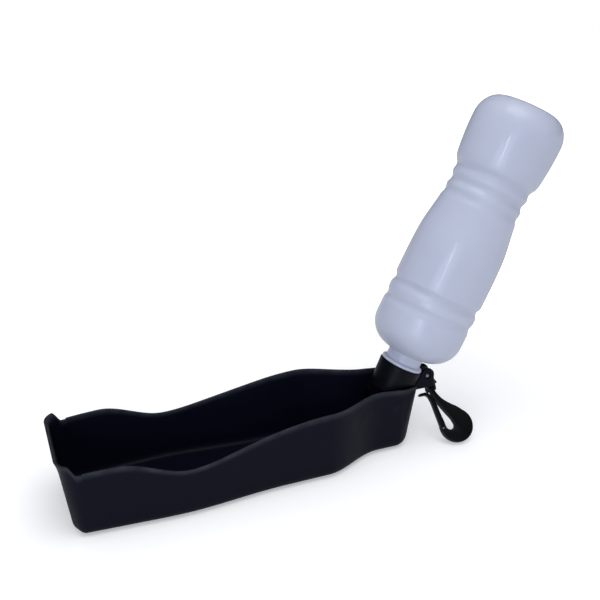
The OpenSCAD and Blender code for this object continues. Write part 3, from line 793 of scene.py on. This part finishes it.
def bottle_profile(wall):
    """Outer skin from the mouth to the base, then the inner skin back."""
    start, end = SHOULDER_FROM + SHOULDER, BOTTLE_LEN - BASE_ROUND

    def shoulder(t):
        return [(NECK_R + 0.3 - t + (SHOULDER_R - NECK_R - 0.3) * math.sin(a),
                 start - (SHOULDER - t * math.cos(a)) * math.cos(a))
                for a in np.radians(np.linspace(0, 86, 30))]

    def barrel(t):
        s = np.linspace(start, end, 200)
        return list(zip(glide(BARREL, s) - t, s))

    def base(t):
        return [(BASE_FLAT + (BASE_R - BASE_FLAT - t) * math.cos(a),
                 end + (BASE_ROUND - t) * math.sin(a)) for a in np.radians(np.linspace(3, 90, 30))]

    def floor(t):
        r = np.linspace(1, 0, 24)[1:]
        rise = PUSH_UP * (1 - soft(r * 1.05)) + 0.4 * np.exp(-((r * BASE_FLAT - 12) / 0.8) ** 2)
        return [(BASE_FLAT * k, BOTTLE_LEN - t - lift) for k, lift in zip(r, rise)]

    mouth = -FLOOR_INNER + GASKET_T + GAP
    neck = [(NECK_R - NECK_WALL, mouth + 0.3), (NECK_R - 1.3, mouth), (NECK_R - 0.3, mouth),
            (NECK_R, mouth + 0.3), (NECK_R, GAP), (COLLAR_R - 0.25, GAP),
            (COLLAR_R, GAP + 0.25), (COLLAR_R, GAP + COLLAR_T - 0.4),
            (COLLAR_R - 0.4, GAP + COLLAR_T), (NECK_R + 0.8, GAP + COLLAR_T),
            (NECK_R + 0.3, GAP + COLLAR_T + 0.5)]
    outer = shoulder(0) + barrel(0)[1:] + base(0) + floor(0)
    inner = shoulder(wall) + barrel(wall)[1:] + base(wall) + floor(wall)
    return neck + outer + inner[::-1] + [(NECK_R - NECK_WALL, SHOULDER_FROM + 2)]


class DOGBOTTLE_OT_bottle(bpy.types.Operator):
    """Builds the squeeze bottle with its pressed rib grooves"""

    bl_idname = "dogbottle.bottle"
    bl_label = "Bottle"

    def execute(self, context):
        s = context.scene.dogbottle_bottle
        # Low-density polyethylene, blown in a mould: milky, so light spreads inside the wall
        finish = milky_polyethylene("milky polyethylene", tuple(s.colour))
        profile = bottle_profile(s.wall / MM)
        piece = lathe("bottle_skin", profile + profile[:1], CAP, finish, s.segments,
                      groove=s.groove, half_width=s.groove_half, groove_above=20 * MM)
        dress(piece, "bottle", "translucent_plastic", finish, "bottle")
        return {"FINISHED"}


# ---------------------------------------------------------------- cap and seals


class DOGBOTTLE_OT_cap(bpy.types.Operator):
    """Builds the pivoting cap with its cross barrel and water port"""

    bl_idname = "dogbottle.cap"
    bl_label = "Cap"

    def execute(self, context):
        s = context.scene.dogbottle_cap
        rim, end = s.rim_round / MM, s.end_round / MM
        # Glossier than the trough: polypropylene from a polished mould
        finish = moulded_plastic("black polished polypropylene", tuple(s.colour),
                                 grain=0.8 * MM, roughness=0.4, specular=0.12)
        profile = ([(0, -CAP_LEN)]
                   + arc(CAP_END_R - end, -CAP_LEN + end, end, -90, 0, 8)
                   + arc(CAP_R - rim, -rim, rim, 0, 90, 6)
                   + [(BORE_R + 0.3, 0), (BORE_R, -0.3), (BORE_R, -FLOOR_INNER), (0, -FLOOR_INNER)])
        body = mesh_piece("pivot_cap_body", [(*turned(profile, 128), CAP)])
        carve(body, [mesh_piece("barrel", [
            (*round_bar(BARREL_R, -BARREL_HALF, BARREL_HALF, 0.5, 96), HINGE)])], "UNION")
        port = FOLD @ Matrix.Rotation(TILT, 4, "Y")
        reach = (CAP_REACH - FLOOR_INNER) / math.cos(TILT) + 0.5
        inside = POCKET_W - DRAFT * (HIP_H - FOLD_Z) - PIVOT_SUNK - PIVOT_LEN
        outside = BARREL_HALF + 1
        carve(body, [mesh_piece("port", [(*round_bar(PORT_R, -BARREL_R - 1, reach), port)])] + [
            mesh_piece("bore", [(*round_bar(PIVOT_R + PIVOT_PLAY, a, b), HINGE)])
            for a, b in ((inside, outside), (-outside, -inside))])
        dress(body, "cap", "black_cap_plastic", finish, "pivot_cap")
        # The pins' ends are flush in the trough's wall and share its colour
        pins = moulded_plastic("black acetal pin", tuple(context.scene.dogbottle_trough.colour),
                               grain=0.8 * MM, roughness=0.36, specular=0.12)
        keep_solid("pivot_pin_front", pins)
        keep_solid("pivot_pin_rear", pins)
        # Nitrile rubber: matt and slightly grey, so it reads against the cap
        rubber = soft_rubber("black nitrile rubber", "#1c1c1f")
        keep_solid("cap_gasket", rubber)
        keep_solid("port_seal", rubber)
        return {"FINISHED"}


# ---------------------------------------------------------------- clip


def hook_outline():
    """The hook from the side: stem, round lobe and the open eye that the gate closes."""
    u, v, r = LOBE
    # The corners of the stem's hidden end are round enough to be moved inwards cleanly
    heel = STEM_HALF * 0.66
    outer = flowing(arc(heel - 0.2, STEM_HALF - heel, heel, 180, 100, 4)
                    + [(2.6, 2.2), (5.8, 2.8), (10.9, 4.9), (15.9, 8.6), (20.0, 12.4)]
                    + arc(u, v, r, 132, 132, 0))
    lobe = arc(u, v, r, 128, -107, 90)
    socket = arc(*ROOT[:2], ROOT[2] + GAP, -66, 55, 12)
    tear = arc(*TEAR, -95, 104, 30)
    inner = flowing([tear[-1], (26.5, 3.5), (22.2, 2.1), (17.2, 0.55), (13.2, -0.45),
                     (10.0, -1.05), (6.6, -1.6), (3.4, -2.05)]
                    + arc(heel - 0.2, heel - STEM_HALF, heel, -100, -180, 4))
    return outer[:-1] + lobe + socket + tear[:-1] + inner


def gate_outline():
    """The spring gate: a thin tongue with a hooked tip and a round root."""
    root = arc(*ROOT, -90, 90, 18)
    top = flowing([root[-1], (25.6, -2.15), (21.7, -2.1), (17.6, -1.85), (13.5, -1.6),
                   (10.4, -1.75), (7.0, -2.15), (4.2, -3.0), (2.2, -4.2), (1.25, -5.6),
                   (0.7, -8.0), (0.45, -10.2)])
    tip = flowing([(0.45, -10.2), (0.75, -10.95), (1.4, -11.2), (2.1, -10.95), (2.5, -10.3)], 0.25)
    low = flowing([(2.5, -10.3), (2.9, -8.2), (3.5, -6.3), (5.2, -5.2), (7.6, -4.95),
                   (10.3, -4.9), (16.8, -5.5), (23.2, -6.1), root[0]])
    return root[:-1] + top[:-1] + tip[:-1] + low[:-1]


class DOGBOTTLE_OT_clip(bpy.types.Operator):
    """Builds the swivel, hook, spring gate and pins of the belt clip"""

    bl_idname = "dogbottle.clip"
    bl_label = "Clip"

    def execute(self, context):
        s = context.scene.dogbottle_clip
        # Acetal copolymer: tough, slippery and a little waxy
        finish = moulded_plastic("black acetal", tuple(s.colour),
                                 grain=0.7 * MM, roughness=0.36, specular=0.3)
        half = SLOT_W / 2 - GAP
        web = rounded([(LUG_X - 0.5, LUG_Z - EYE_R + 0.8, 0), (LUG_X + EYE_R - 0.2, LUG_Z - 1.5, 0),
                       (LINK_X + 4.2, LINK_Z + LINK_EYE + 3.4, 0.8),
                       (LINK_X - 3.6, LINK_Z + LINK_EYE + 1.6, 0.8)])
        rise = LINK_EYE + 3.2
        cheek = [(-LINK_EYE, rise)] + arc(0, 0, LINK_EYE, -180, 0, 18) + [(LINK_EYE, rise)]
        stand = Matrix.Rotation(math.pi / 2, 4, "Z") @ Matrix.Rotation(math.pi / 2, 4, "X")
        swivel = mesh_piece("swivel_body", [
            (*round_bar(EYE_R, -half, half, 0.5, 80), LUG_PIN),
            (*slab(web, 2 * half, 0.4), UPRIGHT)] + [
            (*slab(cheek, CHEEK_T, 0.25), LINK @ Matrix.Translation(
                (side * (STEM_HALF + GAP + CHEEK_T / 2), 0, 0)) @ stand)
            for side in (-1, 1)])
        dress(swivel, "swivel", "black_clip_plastic", finish, "clip_swivel")
        across = HOOK @ Matrix.Rotation(math.pi / 2, 4, "X")
        hook = mesh_piece("hook_body", [
            (*slab(hook_outline(), HOOK_T, s.edge_round / MM, 5), HOOK),
            (*round_bar(LINK_EYE, -STEM_HALF, STEM_HALF, 0.3, 48), across)])
        dress(hook, "hook", "black_clip_plastic", finish, "clip_hook")
        gate = mesh_piece("gate_tongue", [
            (*slab(gate_outline(), HOOK_T, s.gate_round / MM, 4), HOOK)])
        dress(gate, "gate", "black_clip_plastic", finish, "clip_gate")
        keep_solid("link_pin", finish)
        # Nickel-plated steel wire, cut and domed: the one bright spot on the part
        keep_solid("clip_pin", drawn_steel("nickel plated steel", "#8f9094"))
        return {"FINISHED"}


# ---------------------------------------------------------------- stage


def lamp(name, position, target, size, power, tint=(1, 1, 1), height=None):
    """A soft rectangular lamp that faces its target."""
    light = bpy.data.lights.new(name, "AREA")
    light.shape, light.size, light.size_y = "RECTANGLE", size, height or size
    light.energy, light.color = power, tint
    held = bpy.data.objects.new(name, light)
    held.location = position
    held.rotation_euler = (Vector(target) - Vector(position)).to_track_quat("-Z", "Y").to_euler()
    bpy.context.scene.collection.objects.link(held)
    return held


def backdrop_world(colour, level, gloss):
    """Even light, a dark room for gloss, and plain white where the camera looks past."""
    world = bpy.data.worlds.new("studio")
    world.use_nodes = True
    tree = world.node_tree
    tree.nodes.clear()
    path = add(tree, "ShaderNodeLightPath").outputs
    seen = add(tree, "ShaderNodeMath", {0: path["Is Camera Ray"], 1: path["Is Transmission Ray"]},
               operation="MAXIMUM")
    strength = add(tree, "ShaderNodeMapRange", {
        "Value": path["Is Glossy Ray"], "To Min": level, "To Max": gloss})
    dim = add(tree, "ShaderNodeBackground", {
        "Color": linear(colour), "Strength": strength.outputs["Result"]})
    white = add(tree, "ShaderNodeBackground", {"Color": (1, 1, 1, 1), "Strength": 1.0})
    both = add(tree, "ShaderNodeMixShader", {0: seen.outputs[0], 1: dim.outputs[0],
                                             2: white.outputs[0]})
    add(tree, "ShaderNodeOutputWorld", {"Surface": both.outputs[0]})
    bpy.context.scene.world = world


def pale_floor_material(near, far):
    """Matt white paper: keeps the shadow near the object and fades to plain white beyond it."""
    material, tree = new_material("matt white paper")
    path = add(tree, "ShaderNodeLightPath").outputs
    place = add(tree, "ShaderNodeTexCoord").outputs["Object"]
    away = add(tree, "ShaderNodeVectorMath", {0: place}, operation="LENGTH")
    lift = add(tree, "ShaderNodeMapRange", {
        "Value": away.outputs["Value"], "From Min": near, "From Max": far,
        "To Min": 0.3, "To Max": 1.0}, interpolation_type="SMOOTHSTEP")
    glow = add(tree, "ShaderNodeMath", {0: path["Is Camera Ray"], 1: lift.outputs["Result"]},
               operation="MULTIPLY")
    surface = add(tree, "ShaderNodeBsdfPrincipled", {
        "Base Color": linear("#f5f3ef"), "Roughness": 0.9, "Specular IOR Level": 0.0,
        "Emission Color": (1, 1, 1, 1), "Emission Strength": glow.outputs[0]})
    add(tree, "ShaderNodeOutputMaterial", {"Surface": surface.outputs["BSDF"]})
    return material


def photo_camera():
    """The photograph's viewpoint: direction, roll and lens as measured on the picture."""
    az, el, roll = (math.radians(a) for a in (EYE_AZIMUTH, EYE_ELEVATION, EYE_ROLL))
    back = Vector((math.sin(az) * math.cos(el), -math.cos(az) * math.cos(el), math.sin(el)))
    right = Vector((math.cos(az), math.sin(az), 0))
    up = back.cross(right)
    right, up = (right * math.cos(roll) + up * math.sin(roll),
                 up * math.cos(roll) - right * math.sin(roll))
    data = bpy.data.cameras.new("camera")
    data.lens, data.sensor_width = EYE_LENS, 36.0
    data.clip_start, data.clip_end = 0.01, 50.0
    camera = bpy.data.objects.new("camera", data)
    camera.matrix_world = Matrix.Translation(EYE_AT) @ Matrix(
        (right, up, back)).transposed().to_4x4()
    bpy.context.scene.collection.objects.link(camera)
    bpy.context.scene.camera = camera
    return camera


class DOGBOTTLE_OT_stage(bpy.types.Operator):
    """Sets the floor, the soft lamps and the camera"""

    bl_idname = "dogbottle.stage"
    bl_label = "Stage"

    def execute(self, context):
        s = context.scene.dogbottle_stage
        w = s.floor_width / 2
        mesh = bpy.data.meshes.new("floor")
        mesh.from_pydata([(-w, -w, 0), (w, -w, 0), (w, w, 0), (-w, w, 0)], [], [(0, 1, 2, 3)])
        floor = bpy.data.objects.new("floor", mesh)
        floor.location.z = -0.4 * MM
        floor.data.materials.append(pale_floor_material(s.shadow_reach, 2 * s.shadow_reach))
        context.scene.collection.objects.link(floor)
        # Overhead, a little in front: lights the floor and the bottle, and draws the thin line
        # along the fillet at the back of the trough
        lamp("top", (0.05, -0.25, 1.1), (0.02, 0, 0.05), s.lamp_size, 4)
        # Broad, dim and bluish from the front left, for the walls that face the camera
        lamp("front", (-0.85, -1.15, 0.35), (-0.05, 0, 0.08), 1.2 * s.lamp_size, 5,
             tint=(0.66, 0.8, 1.0))
        # A narrow strip beside the camera: the thin line down the bottle
        lamp("strip", (-0.6, -0.93, 0.47), (0.15, 0, 0.15), 0.03, 0.8, height=0.42)
        backdrop_world("#e8ecf8", level=0.68, gloss=0.05)
        context.scene.view_settings.view_transform = "Standard"
        photo_camera()
        return {"FINISHED"}


class DOGBOTTLE_PT_panel(bpy.types.Panel):
    """Lists the pieces in the sidebar"""

    bl_idname = "DOGBOTTLE_PT_panel"
    bl_label = "Folding Dog Bottle"
    bl_space_type = "VIEW_3D"
    bl_region_type = "UI"
    bl_category = "Dog Bottle"

    def draw(self, context):
        for name in ("trough", "bottle", "cap", "clip", "stage"):
            box = self.layout.box()
            settings = getattr(context.scene, "dogbottle_" + name)
            for key in settings.bl_rna.properties.keys():
                if key not in ("rna_type", "name"):
                    box.prop(settings, key)
            box.operator("dogbottle." + name)


CLASSES = (
    TroughSettings, BottleSettings, CapSettings, ClipSettings, StageSettings,
    DOGBOTTLE_OT_trough, DOGBOTTLE_OT_bottle, DOGBOTTLE_OT_cap, DOGBOTTLE_OT_clip,
    DOGBOTTLE_OT_stage, DOGBOTTLE_PT_panel,
)
SETTINGS = {
    "dogbottle_trough": TroughSettings, "dogbottle_bottle": BottleSettings,
    "dogbottle_cap": CapSettings, "dogbottle_clip": ClipSettings,
    "dogbottle_stage": StageSettings,
}


def register():
    for item in CLASSES:
        bpy.utils.register_class(item)
    for name, group in SETTINGS.items():
        setattr(bpy.types.Scene, name, PointerProperty(type=group))


def unregister():
    for name in SETTINGS:
        delattr(bpy.types.Scene, name)
    for item in reversed(CLASSES):
        bpy.utils.unregister_class(item)


def main():
    register()
    bpy.ops.dogbottle.trough()
    bpy.ops.dogbottle.bottle()
    bpy.ops.dogbottle.cap()
    bpy.ops.dogbottle.clip()
    bpy.ops.dogbottle.stage()


if __name__ == "__main__":
    main()
